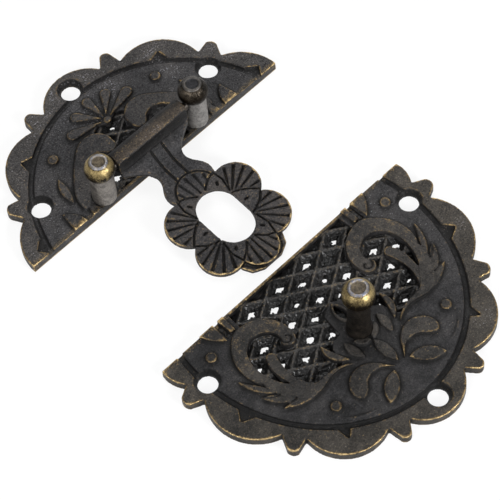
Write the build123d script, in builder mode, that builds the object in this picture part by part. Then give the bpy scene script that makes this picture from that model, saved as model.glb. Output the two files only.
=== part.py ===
# Decorative box hasp: two cast filigree plates, a pinned hasp with a flower
# shaped eye, and the post that the eye drops over. All sizes are millimetres.
# X runs along the straight edges and the hinge pin, Y runs from the catch plate
# to the hinge plate, and the backs of both plates lie on Z = 0.
import os
from math import asin, atan2, cos, degrees, radians, sin, sqrt, tan

from build123d import *

os.makedirs("parts", exist_ok=True)

# Plates
plate_thickness = 1.7
relief = 0.45
scroll_relief = 0.6
channel_depth = 0.5
channel_width = 0.95
plate_gap = 27.75

# Scalloped rim of the catch plate, laid out on a stretched circle
catch_rim_centre = 5.45
catch_stretch = 1.118
catch_pitch = 35.4
catch_crest_radius = 27.3
catch_point_radius = 26.7
catch_notch_radius = 24.75
catch_tip_x = 25.7

# Scalloped rim of the hinge plate, a shallower piece of the same figure
hinge_rim_centre = -7.58
hinge_stretch = 1.116
hinge_pitch = 35.87
hinge_crest_radius = 28.2
hinge_point_radius = 27.7
hinge_notch_radius = 25.7
hinge_tip_x = 26.7
notch_half_angle = 3.96

# Screw holes, countersunk from the front
screw_hole_diameter = 3.2
countersink_diameter = 4.4
countersink_angle = 62
catch_side_hole = (22.1, 6.15)
catch_end_hole_y = 32.6
hinge_side_hole = (18.5, 7.55)
hinge_end_hole_y = 20.85

# Diamond lattice between the scrolls
lattice_pitch_x = 6.0
lattice_pitch_y = 3.8
lattice_rib_half = 0.17
lattice_rib_top = 1.2
lattice_hole = (1.45, 0.95)
lattice_small_hole = (0.7, 0.5)
lattice_floor = 0.35
lattice_rim_width = 0.45

# Cells that the casting left nearly closed or closed, by their middles
catch_small_cells = {
    (9, -2.35), (3, -6.15), (-3, -6.15), (-12, -11.85), (-15, -9.95), (12, -15.65), (9, -17.55)
}
catch_shut_cells = {
    (0, -0.45), (6, -0.45), (-6, -0.45), (12, -0.45), (-12, -0.45), (6, -4.25), (-12, -15.65),
    (-9, -17.55)
}
hinge_small_cells = {(0, 10.9)}
hinge_shut_cells = {(0, -0.5), (6, -0.5), (-6, -0.5)}

# Beads cast on the field
bead_diameter = 1.75

# Hinge posts and pin
hinge_post_x = 10.1
hinge_post_y = 1.6
hinge_post_height = 9.6
hinge_post_stem = 4.0
hinge_post_bulb = 4.9
pin_height = 7.3
pin_diameter = 1.6
pin_end_in_post = 1.0
pin_socket_clearance = 0.01
pin_running_clearance = 0.05

# Catch post
catch_post_y = 16.4
catch_post_height = 12.2
catch_post_stem = 3.6
catch_post_bulb = 5.2
catch_post_foot = 4.1
spigot_diameter = 2.2
spigot_clearance = 0.01

# Hasp
barrel_diameter = 3.7
barrel_length = 14.6
barrel_ridge_angle = 48
cove_middle = (0.22, 7.15)
cove_foot = (-0.45, 5.91)
hasp_thickness = 0.95
hasp_droop = 6.5
neck_bend_y = -2.9
neck_bend_height = 4.1
web_top_y = 0.15
web_top_height = 6.35
neck_half_width = 2.95
eye_centre_y = -15.5
eye_length = 10.3
eye_width = 7.1
petal_radius = 4.0
tip_petal_radius = 3.5
tip_lip_drop = 0.55
tip_lip_height = 1.35
flute_depth = 0.42
flute_width = 0.7
flute_margin = 0.35
groove_width = 0.32
neck_groove_x = 1.15
neck_groove_width = 0.42
neck_groove_depth = 0.3

# Placing of the straight edges that makes the middle of the whole outline Y = 0
catch_depth = catch_rim_centre + catch_stretch * catch_crest_radius
hinge_depth = hinge_rim_centre + hinge_stretch * hinge_crest_radius
hinge_edge_y = (catch_depth + plate_gap - hinge_depth) / 2
catch_edge_y = hinge_edge_y - plate_gap


def catch_plane(height):
    """Plane whose local origin is the middle of the catch plate's straight edge."""
    return Plane(origin=(0, catch_edge_y, height))


def hinge_plane(height):
    """Plane whose local origin is the middle of the hinge plate's straight edge."""
    return Plane(origin=(0, hinge_edge_y, height))


def catch_rim(radius, angle):
    """Point of the catch plate's rosette, angle measured from its far end."""
    turn = radians(angle)
    return (radius * sin(turn), -catch_rim_centre - catch_stretch * radius * cos(turn))


def hinge_rim(radius, angle):
    """Point of the hinge plate's rosette, angle measured from its far end."""
    turn = radians(angle)
    return (radius * sin(turn), hinge_rim_centre + hinge_stretch * radius * cos(turn))


def mirrored(point):
    """The same point on the other side of the plate."""
    return (-point[0], point[1])


def rim_point(rim, point_radius, notch_radius, angle):
    """Two edges of one small point between scallops, from notch to notch."""
    first = rim(notch_radius, angle - notch_half_angle)
    last = rim(notch_radius, angle + notch_half_angle)
    side = 0.45 * notch_half_angle
    near = rim(point_radius, angle - side)
    far = rim(point_radius, angle + side)
    Line(first, near)
    ThreePointArc(near, rim(point_radius + 0.35, angle), far)
    Line(far, last)


def leaf(start, bulge_a, end, bulge_b):
    """Face between two arcs that meet at the start and the end."""
    with BuildLine() as outline:
        ThreePointArc(start, bulge_a, end)
        ThreePointArc(end, bulge_b, start)
    make_face(outline.edges())


def blade(upper, lower):
    """Face between two smooth curves that share their first and last points."""
    with BuildLine() as outline:
        Spline(*upper)
        Spline(*lower)
    make_face(outline.edges())


def patch(base_a, bulge, apex, base_b):
    """Three sided face with one arched side, standing on the straight edge."""
    with BuildLine() as outline:
        ThreePointArc(base_a, bulge, apex)
        Line(apex, base_b)
        Line(base_b, base_a)
    make_face(outline.edges())


def teardrop(root, centre, radius):
    """Face of a leaf with a round outer end that narrows to a point at its root."""
    reach = Vector(*centre) - Vector(*root)
    length = sqrt(reach.length**2 - radius**2)
    half = degrees(asin(radius / reach.length))
    side_a = Vector(*root) + reach.normalized().rotate(Axis.Z, half) * length
    side_b = Vector(*root) + reach.normalized().rotate(Axis.Z, -half) * length
    with BuildLine() as outline:
        Line(root, side_a)
        ThreePointArc(side_a, Vector(*centre) + reach.normalized() * radius, side_b)
        Line(side_b, root)
    make_face(outline.edges())


def groove(*points):
    """Narrow band along a line through the points."""
    with BuildLine() as line:
        Polyline(*points)
    trace(line.edges(), line_width=groove_width)


def channel_band(centre_y, half_x, half_y, direction):
    """Elliptical channel, cut off by the straight edge."""
    margin = channel_width / 2
    with Locations((0, centre_y)):
        Ellipse(half_x + margin, half_y + margin)
        Ellipse(half_x - margin, half_y - margin, mode=Mode.SUBTRACT)
    with Locations((0, -direction * half_y)):
        Rectangle(3 * half_x, 2 * half_y, mode=Mode.SUBTRACT)


def lattice_pit(bottom, opening):
    """Pit of one lattice cell, which narrows from the ribs down to its opening."""
    slant = sqrt(lattice_pitch_x**2 + lattice_pitch_y**2)
    pit_x = lattice_pitch_x / 2 - lattice_rib_half * slant / lattice_pitch_y
    pit_y = lattice_pitch_y / 2 - lattice_rib_half * slant / lattice_pitch_x
    with BuildPart(mode=Mode.PRIVATE) as pit:
        for height, x, y in (
            (lattice_rib_top, pit_x, pit_y),
            (bottom, opening[0] / 2, opening[1] / 2),
        ):
            with BuildSketch(Plane.XY.offset(height)):
                Polygon((x, 0), (0, y), (-x, 0), (0, -y))
        loft(ruled=True)
    return pit.part


def lattice_cutter(plane, nodes_y, rows, columns, region, small, shut):
    """Pits between the diagonal ribs, and the room above them, inside a region."""
    open_pit = lattice_pit(-0.1, lattice_hole)
    small_pit = lattice_pit(-0.1, lattice_small_hole)
    shut_pit = lattice_pit(lattice_floor, (2.6, 1.7))
    with BuildPart(mode=Mode.PRIVATE) as cutter:
        for row in range(rows):
            y = round(nodes_y + row * lattice_pitch_y / 2, 2)
            for column in range(-columns, columns + 1):
                x = (column + row % 2 / 2) * lattice_pitch_x
                pit = shut_pit if (x, y) in shut else small_pit if (x, y) in small else open_pit
                with Locations(plane.origin + Vector(x, y, 0)):
                    add(pit)
        with BuildSketch(Plane.XY.offset(lattice_rib_top)):
            with Locations(plane.origin):
                Rectangle(120, 120)
        extrude(amount=plate_thickness)
        with BuildSketch(Plane(origin=(plane.origin.X, plane.origin.Y, -1))):
            region()
        extrude(amount=plate_thickness + 3, mode=Mode.INTERSECT)
    return cutter.part


def catch_lattice_region():
    """Field of the catch plate's lattice: under the scrolls and round the post."""
    with BuildLine() as outline:
        side = Polyline(
            (0, -lattice_rim_width),
            (12.1, -lattice_rim_width),
            (12.2, -3.0),
            (13.0, -4.5),
            (14.8, -5.2),
            (16.2, -7.0),
            (16.9, -9.4),
            (16.7, -11.8),
            (15.6, -14.6),
            (13.4, -17.4),
            (10.8, -18.9),
            (6.8, -19.2),
            (5.6, -18.4),
            (5.5, -16.2),
            (4.4, -15.2),
            (2.7, -15.0),
            (2.2, -11.2),
            (0, -10.0),
        )
        mirror(side, about=Plane.YZ)
    make_face(outline.edges())


def hinge_lattice_region():
    """Field of the hinge plate's lattice: between the posts and the volutes."""
    with BuildLine() as outline:
        side = Polyline(
            (0, lattice_rim_width),
            (7.5, lattice_rim_width),
            (7.7, 3.0),
            (9.0, 5.0),
            (8.7, 7.0),
            (7.0, 8.9),
            (4.4, 9.4),
            (3.4, 10.4),
            (3.1, 11.7),
            (1.9, 12.1),
            (0.9, 11.7),
            (0, 11.3),
        )
        mirror(side, about=Plane.YZ)
    make_face(outline.edges())


# Catch plate
with BuildPart() as catch_plate:
    with BuildSketch(catch_plane(0)):
        with BuildLine():
            for side in (1, 2, 3):
                middle = (side - 0.5) * catch_pitch
                rim_point(catch_rim, catch_point_radius, catch_notch_radius, middle)
            for side in (1, 2):
                start = catch_rim(catch_notch_radius, (side - 0.5) * catch_pitch + notch_half_angle)
                crest = catch_rim(catch_crest_radius, side * catch_pitch)
                end = catch_rim(catch_notch_radius, (side + 0.5) * catch_pitch - notch_half_angle)
                ThreePointArc(start, crest, end)
            end_notch = catch_rim(catch_notch_radius, 2.5 * catch_pitch + notch_half_angle)
            ThreePointArc(end_notch, (catch_tip_x + 0.1, -1.6), (catch_tip_x, 0))
            Line((catch_tip_x, 0), (0, 0))
            mirror(about=Plane.YZ)
            far_notch = catch_rim(catch_notch_radius, 0.5 * catch_pitch - notch_half_angle)
            ThreePointArc(far_notch, catch_rim(catch_crest_radius, 0), mirrored(far_notch))
        make_face()
    extrude(amount=plate_thickness)

    # Channel that parts the border from the field, with its outward nicks
    with BuildSketch(catch_plane(plate_thickness)):
        channel_band(-6.0, 22.6, 25.1, -1)
        Polygon((22.2, -12.9), (23.5, -14.7), (21.2, -15.8), align=None)
        Polygon((13.0, -27.0), (14.4, -28.2), (14.5, -25.6), align=None)
        with Locations((14.5, -1.6)):
            Rectangle(0.9, 3.4)
        mirror(about=Plane.YZ)
    extrude(amount=-channel_depth, mode=Mode.SUBTRACT)

    add(
        lattice_cutter(
            catch_plane(0),
            -0.45 - 5 * lattice_pitch_y,
            11,
            3,
            catch_lattice_region,
            catch_small_cells,
            catch_shut_cells,
        ),
        mode=Mode.SUBTRACT,
    )

    # Scrolls and the acanthus body that runs from each scroll to the stem
    with BuildSketch(catch_plane(0)):
        with BuildLine():
            outer = Spline(
                (7.75, -10.6),
                (7.4, -9.2),
                (7.55, -7.4),
                (8.4, -5.7),
                (9.9, -4.3),
                (11.9, -3.5),
                (13.4, -3.4),
                (15.2, -4.3),
                (16.7, -6.0),
                (17.6, -8.0),
                (17.8, -10.1),
                (17.4, -12.1),
                (16.7, -13.5),
            )
            inner = Spline(
                (14.2, -15.6),
                (15.2, -13.8),
                (15.75, -11.8),
                (15.8, -9.8),
                (15.3, -8.0),
                (14.2, -6.7),
                (12.9, -6.1),
                (11.6, -6.2),
                (10.3, -6.9),
                (9.55, -7.9),
                (9.45, -8.9),
                (10.05, -9.8),
            )
            ThreePointArc(inner @ 1, (9.0, -11.2), outer @ 0)
            Line(outer @ 1, inner @ 0)
        make_face()
        blade(
            ((16.9, -12.9), (16.7, -14.9), (15.6, -17.2), (14.0, -19.0), (12.2, -19.8),
             (10.2, -19.5), (8.4, -19.2), (6.6, -19.5), (4.9, -20.4)),
            ((16.9, -12.9), (15.4, -14.0), (14.4, -15.4), (13.6, -16.1), (12.6, -17.4),
             (11.0, -18.5), (8.9, -18.6), (6.7, -19.1), (4.9, -20.4)),
        )
        mirror(about=Plane.YZ)
    extrude(amount=plate_thickness + scroll_relief)

    # Fingers of the acanthus, inside and outside the scroll
    with BuildSketch(catch_plane(0)):
        leaf((19.3, -9.7), (18.6, -12.7), (16.0, -15.6), (17.6, -12.4))
        leaf((18.7, -14.1), (17.5, -16.6), (14.6, -18.3), (16.6, -15.6))
        leaf((17.5, -17.9), (15.2, -19.3), (12.2, -19.8), (14.8, -17.9))
        leaf((6.4, -14.4), (6.9, -16.9), (4.9, -19.2), (5.7, -16.9))
        mirror(about=Plane.YZ)
    extrude(amount=plate_thickness + relief)
    with BuildSketch(catch_plane(0)):
        with BuildLine():
            near = Spline((12.1, -10.6), (12.6, -12.4), (12.8, -14.8), (12.4, -16.6), (11.6, -18.2))
            far = Spline((13.7, -10.4), (14.3, -12.4), (14.1, -14.8), (13.9, -16.8), (14.1, -18.4))
            ThreePointArc(near @ 0, (12.8, -9.7), far @ 0)
            Line(near @ 1, far @ 1)
        make_face()
        mirror(about=Plane.YZ)
    extrude(amount=plate_thickness + 0.5)

    # Grooves that part the fingers where they overlap on the body
    with BuildSketch(catch_plane(plate_thickness + scroll_relief)):
        groove((18.9, -10.2), (17.9, -11.7), (16.9, -13.0))
        groove((18.6, -14.2), (17.6, -15.2), (16.3, -15.9))
        groove((17.6, -17.7), (16.3, -17.8), (14.9, -18.0))
        mirror(about=Plane.YZ)
    extrude(amount=-0.4, mode=Mode.SUBTRACT)

    # Leaf spray on the axis, the leaves at the foot of the post, beads and edge patches
    with BuildSketch(catch_plane(plate_thickness / 2)):
        blade(
            ((0.9, -25.0), (1.9, -23.6), (2.9, -22.2), (4.2, -21.3), (6.1, -21.0),
             (7.7, -21.7), (8.7, -23.0), (8.85, -24.3), (8.2, -25.3)),
            ((0.9, -25.0), (1.9, -24.1), (2.9, -23.4), (4.3, -23.2), (5.6, -23.6),
             (6.5, -24.5), (7.3, -25.1), (8.2, -25.3)),
        )
        leaf((1.6, -25.3), (4.7, -26.0), (6.1, -28.7), (3.1, -27.8))
        leaf((3.5, -16.6), (4.25, -18.5), (3.0, -20.5), (2.75, -18.3))
        leaf((0.2, -19.2), (1.7, -18.9), (2.4, -17.5), (0.9, -17.9))
        patch((17.9, 0), (16.9, -2.0), (15.3, -3.6), (15.0, 0))
        Polygon((12.9, 0), (14.05, 0), (13.95, -2.9), (13.1, -3.1), align=None)
        with Locations((19.05, -3.9), (12.0, -23.2)):
            Circle(bead_diameter / 2)
        mirror(about=Plane.YZ)
        leaf((0, -19.4), (0.9, -21.5), (0, -24.5), (-0.9, -21.5))
        leaf((0, -10.5), (1.1, -12.6), (0, -15.2), (-1.1, -12.6))
    extrude(amount=plate_thickness / 2 + relief)

    # Almond shaped hollow in the bud above the post
    with BuildSketch(catch_plane(plate_thickness + relief)):
        leaf((0, -11.0), (0.72, -12.6), (0, -14.3), (-0.72, -12.6))
    extrude(amount=-1.5, mode=Mode.SUBTRACT)

    # Raised fine line beside the channel
    with BuildSketch(catch_plane(plate_thickness - 0.1)):
        leaf((8.2, -27.7), (10.6, -27.1), (12.4, -25.4), (10.4, -26.8))
        mirror(about=Plane.YZ)
    extrude(amount=0.3)

    # Flat floor for the post's shoulder and the hole for its spigot
    with BuildSketch(catch_plane(plate_thickness)):
        with Locations((0, -catch_post_y)):
            Circle(catch_post_foot / 2)
    extrude(amount=relief + 0.1, mode=Mode.SUBTRACT)
    with BuildSketch(catch_plane(0)):
        with Locations((0, -catch_post_y)):
            Circle(spigot_diameter / 2 + spigot_clearance)
    extrude(amount=plate_thickness, mode=Mode.SUBTRACT)

    with Locations(
        catch_plane(plate_thickness).location * Location((catch_side_hole[0], -catch_side_hole[1], 0)),
        catch_plane(plate_thickness).location * Location((-catch_side_hole[0], -catch_side_hole[1], 0)),
        catch_plane(plate_thickness).location * Location((0, -catch_end_hole_y, 0)),
    ):
        CounterSinkHole(
            screw_hole_diameter / 2, countersink_diameter / 2, plate_thickness, countersink_angle
        )

# Hinge plate
with BuildPart() as hinge_plate:
    with BuildSketch(hinge_plane(0)):
        with BuildLine():
            for side in (1, 2):
                middle = (side - 0.5) * hinge_pitch
                rim_point(hinge_rim, hinge_point_radius, hinge_notch_radius, middle)
            ThreePointArc(
                hinge_rim(hinge_notch_radius, 0.5 * hinge_pitch + notch_half_angle),
                hinge_rim(hinge_crest_radius, hinge_pitch),
                hinge_rim(hinge_notch_radius, 1.5 * hinge_pitch - notch_half_angle),
            )
            end_notch = hinge_rim(hinge_notch_radius, 1.5 * hinge_pitch + notch_half_angle)
            ThreePointArc(end_notch, (25.2, 4.9), (hinge_tip_x, 0))
            Line((hinge_tip_x, 0), (0, 0))
            mirror(about=Plane.YZ)
            far_notch = hinge_rim(hinge_notch_radius, 0.5 * hinge_pitch - notch_half_angle)
            ThreePointArc(far_notch, hinge_rim(hinge_crest_radius, 0), mirrored(far_notch))
        make_face()
    extrude(amount=plate_thickness)

    with BuildSketch(hinge_plane(plate_thickness)):
        channel_band(-6.0, 23.6, 25.1, 1)
        Polygon((15.4, 13.0), (15.2, 16.0), (12.8, 15.3), align=None)
        Polygon((22.5, 3.2), (24.4, 1.7), (23.2, 0), align=None)
        mirror(about=Plane.YZ)
    extrude(amount=-channel_depth, mode=Mode.SUBTRACT)

    add(
        lattice_cutter(
            hinge_plane(0),
            10.9 - 3 * lattice_pitch_y,
            8,
            1,
            hinge_lattice_region,
            hinge_small_cells,
            hinge_shut_cells,
        ),
        mode=Mode.SUBTRACT,
    )

    # Volutes that sweep from the middle out and down past the posts
    with BuildSketch(hinge_plane(0)):
        with BuildLine():
            outer = Spline(
                (2.1, 8.2),
                (2.2, 9.8),
                (3.2, 11.2),
                (4.8, 11.8),
                (6.5, 11.6),
                (8.6, 10.2),
                (10.6, 8.3),
                (12.6, 6.0),
                (13.9, 3.6),
                (14.0, 1.7),
            )
            inner = Spline(
                (8.4, 1.7),
                (9.2, 3.8),
                (9.3, 5.8),
                (8.3, 7.5),
                (6.8, 8.3),
                (5.4, 8.1),
                (4.5, 7.3),
            )
            ThreePointArc(inner @ 1, (3.1, 6.7), outer @ 0)
            Line(outer @ 1, inner @ 0)
        make_face()
        mirror(about=Plane.YZ)
    extrude(amount=plate_thickness + relief)

    # Fan of five leaves with its boss, side leaves, beads and edge patches
    with BuildSketch(hinge_plane(plate_thickness / 2)):
        teardrop((0.45, 12.6), (3.25, 15.8), 0.9)
        teardrop((0.7, 12.0), (5.95, 13.6), 0.95)
        leaf((13.3, 9.0), (14.75, 6.6), (14.5, 4.0), (13.4, 6.3))
        patch((15.2, 0), (15.9, 2.3), (17.3, 3.6), (17.85, 0))
        patch((12.2, 0), (12.6, 1.6), (13.2, 2.5), (13.9, 0))
        with Locations((11.3, 12.4)):
            Circle(bead_diameter / 2)
        mirror(about=Plane.YZ)
        teardrop((0, 12.6), (0, 16.7), 0.85)
        with Locations((0, 11.75)):
            Circle(0.62)
    extrude(amount=plate_thickness / 2 + relief)

    # Round seats for the posts and holes for their spigots
    with BuildSketch(hinge_plane(plate_thickness)):
        with Locations((hinge_post_x, hinge_post_y), (-hinge_post_x, hinge_post_y)):
            Circle(hinge_post_stem / 2 + 0.05)
    extrude(amount=relief + 0.1, mode=Mode.SUBTRACT)
    with BuildSketch(hinge_plane(0)):
        with Locations((hinge_post_x, hinge_post_y), (-hinge_post_x, hinge_post_y)):
            Circle(spigot_diameter / 2 + spigot_clearance)
    extrude(amount=plate_thickness, mode=Mode.SUBTRACT)

    with Locations(
        hinge_plane(plate_thickness).location * Location((hinge_side_hole[0], hinge_side_hole[1], 0)),
        hinge_plane(plate_thickness).location * Location((-hinge_side_hole[0], hinge_side_hole[1], 0)),
        hinge_plane(plate_thickness).location * Location((0, hinge_end_hole_y, 0)),
    ):
        CounterSinkHole(
            screw_hole_diameter / 2, countersink_diameter / 2, plate_thickness, countersink_angle
        )


def turned_post(x, y, height, stem, bulb, foot):
    """Turned post: spigot, foot, stem, bulb and a raised ring with a sunk top."""
    base = plate_thickness
    top = base + height
    bulb_top = top - 0.25
    ring = 0.3 * bulb
    with BuildPart() as post:
        with BuildSketch(Plane(origin=(x, y, 0), x_dir=(1, 0, 0), z_dir=(0, -1, 0))):
            with BuildLine():
                Polyline(
                    (0, 0),
                    (spigot_diameter / 2, 0),
                    (spigot_diameter / 2, base),
                    (foot / 2, base),
                    (foot / 2, base + 0.3),
                )
                Polyline(
                    (foot / 2, base + 0.3),
                    (stem / 2, base + 2.2),
                    (stem / 2, bulb_top - 0.6 * bulb),
                )
                ThreePointArc(
                    (stem / 2, bulb_top - 0.6 * bulb),
                    (0.472 * bulb, bulb_top - 0.51 * bulb),
                    (bulb / 2, bulb_top - 0.4 * bulb),
                )
                ThreePointArc(
                    (bulb / 2, bulb_top - 0.4 * bulb),
                    (0.445 * bulb, bulb_top - 0.15 * bulb),
                    (ring + 0.12, bulb_top),
                )
                Polyline(
                    (ring + 0.12, bulb_top),
                    (ring, bulb_top - 0.1),
                    (ring, top - 0.12),
                    (ring - 0.12, top),
                    (ring - 0.4, top),
                    (ring - 0.5, top - 0.25),
                    (0, top - 0.25),
                    (0, 0),
                )
            make_face()
        revolve(axis=Axis((x, y, 0), (0, 0, 1)))
    return post


catch_post = turned_post(
    0, catch_edge_y - catch_post_y, catch_post_height, catch_post_stem, catch_post_bulb, catch_post_foot
)

hinge_posts = []
for side in (-1, 1):
    turned = turned_post(
        side * hinge_post_x,
        hinge_edge_y + hinge_post_y,
        hinge_post_height,
        hinge_post_stem,
        hinge_post_bulb,
        hinge_post_stem,
    )
    with BuildPart() as bored:
        add(turned.part)
        with BuildSketch(Plane(origin=(0, hinge_edge_y + hinge_post_y, pin_height), z_dir=(1, 0, 0))):
            Circle(pin_diameter / 2 + pin_socket_clearance)
        extrude(amount=side * (hinge_post_x + pin_end_in_post), mode=Mode.SUBTRACT)
    hinge_posts.append(bored)
hinge_post_left, hinge_post_right = hinge_posts

# Hinge pin, held in blind holes of both posts
with BuildPart() as hinge_pin:
    with BuildSketch(Plane(origin=(0, hinge_edge_y + hinge_post_y, pin_height), z_dir=(1, 0, 0))):
        Circle(pin_diameter / 2)
    extrude(amount=hinge_post_x + pin_end_in_post, both=True)

# Hasp: the eye plate slopes down from the bend of the neck
droop = radians(hasp_droop)
eye_y = hinge_edge_y + eye_centre_y
eye_height = neck_bend_height + (eye_centre_y - neck_bend_y) * sin(droop) / cos(droop)
bend_reach = (neck_bend_y - eye_centre_y) / cos(droop)


def eye_plane(offset):
    """Plane of the flower's top face, moved along its normal by the offset."""
    return Plane(
        origin=(0, eye_y - offset * sin(droop), eye_height + offset * cos(droop)),
        x_dir=(1, 0, 0),
        z_dir=(0, -sin(droop), cos(droop)),
    )


def flute(length):
    """V shaped cutter along X that widens and deepens from its start to its end."""
    with BuildPart(mode=Mode.PRIVATE) as cut:
        for reach, half, depth in (
            (0, 0.3 * flute_width, 0.5 * flute_depth),
            (length, flute_width / 2, flute_depth),
        ):
            with BuildSketch(Plane.YZ.offset(reach)):
                Polygon((-2 * half, depth), (0, -depth), (2 * half, depth), align=None)
        loft(ruled=True)
    return cut.part


def flute_fan(focus, centre, radius, rays):
    """Flutes on rays from a focus, each from its start to just inside a round rim."""
    for angle, start in rays:
        turn = radians(angle)
        along = (centre[0] - focus[0]) * cos(turn) + (centre[1] - focus[1]) * sin(turn)
        aside = (centre[1] - focus[1]) * cos(turn) - (centre[0] - focus[0]) * sin(turn)
        reach = along + sqrt((radius - flute_margin) ** 2 - aside**2)
        first = (focus[0] + start * cos(turn), focus[1] + start * sin(turn), 0)
        with Locations(eye_plane(0).location * Location(first, (0, 0, angle))):
            add(flute(reach - start), mode=Mode.SUBTRACT)


# Web that climbs from the rounded bend of the neck to the barrel and spreads to its length
rise = atan2(web_top_height - neck_bend_height, web_top_y - neck_bend_y)
bend_radius = 1 / tan((rise - droop) / 2)
bend_lift = bend_radius / cos((rise - droop) / 2) - bend_radius
bend_turn = (rise + droop) / 2
bend_start = (neck_bend_y - cos(droop), neck_bend_height - sin(droop))
bend_middle = (neck_bend_y - bend_lift * sin(bend_turn), neck_bend_height + bend_lift * cos(bend_turn))
bend_end = (neck_bend_y + cos(rise), neck_bend_height + sin(rise))
with BuildPart() as web:
    with BuildSketch(Plane(origin=(0, hinge_edge_y, 0), x_dir=(0, 1, 0), z_dir=(1, 0, 0))):
        with BuildLine():
            ThreePointArc(bend_start, bend_middle, bend_end)
            Polyline(
                bend_end,
                (web_top_y, web_top_height),
                (1.2, web_top_height),
                (1.2, web_top_height - 0.9),
                (neck_bend_y + hasp_thickness * sin(rise / 2), neck_bend_height - hasp_thickness),
                (neck_bend_y - 0.4, neck_bend_height - hasp_thickness - 0.05),
                (bend_start[0], bend_start[1] - 0.6),
                bend_start,
            )
        make_face()
    extrude(amount=barrel_length / 2, both=True)
    with BuildSketch(hinge_plane(0)):
        with BuildLine():
            spread = Spline(
                (neck_half_width, bend_start[0]),
                (neck_half_width + 0.1, neck_bend_y + 0.1),
                (3.5, -2.1),
                (4.4, -1.4),
                (5.8, -0.6),
                (barrel_length / 2 - 0.2, 0),
            )
            Line(spread @ 1, (barrel_length / 2 - 0.2, 1.3))
            Line((barrel_length / 2 - 0.2, 1.3), (0, 1.3))
            Line((0, bend_start[0]), spread @ 0)
            mirror(about=Plane.YZ)
        make_face()
    extrude(amount=20, mode=Mode.INTERSECT)

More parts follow.
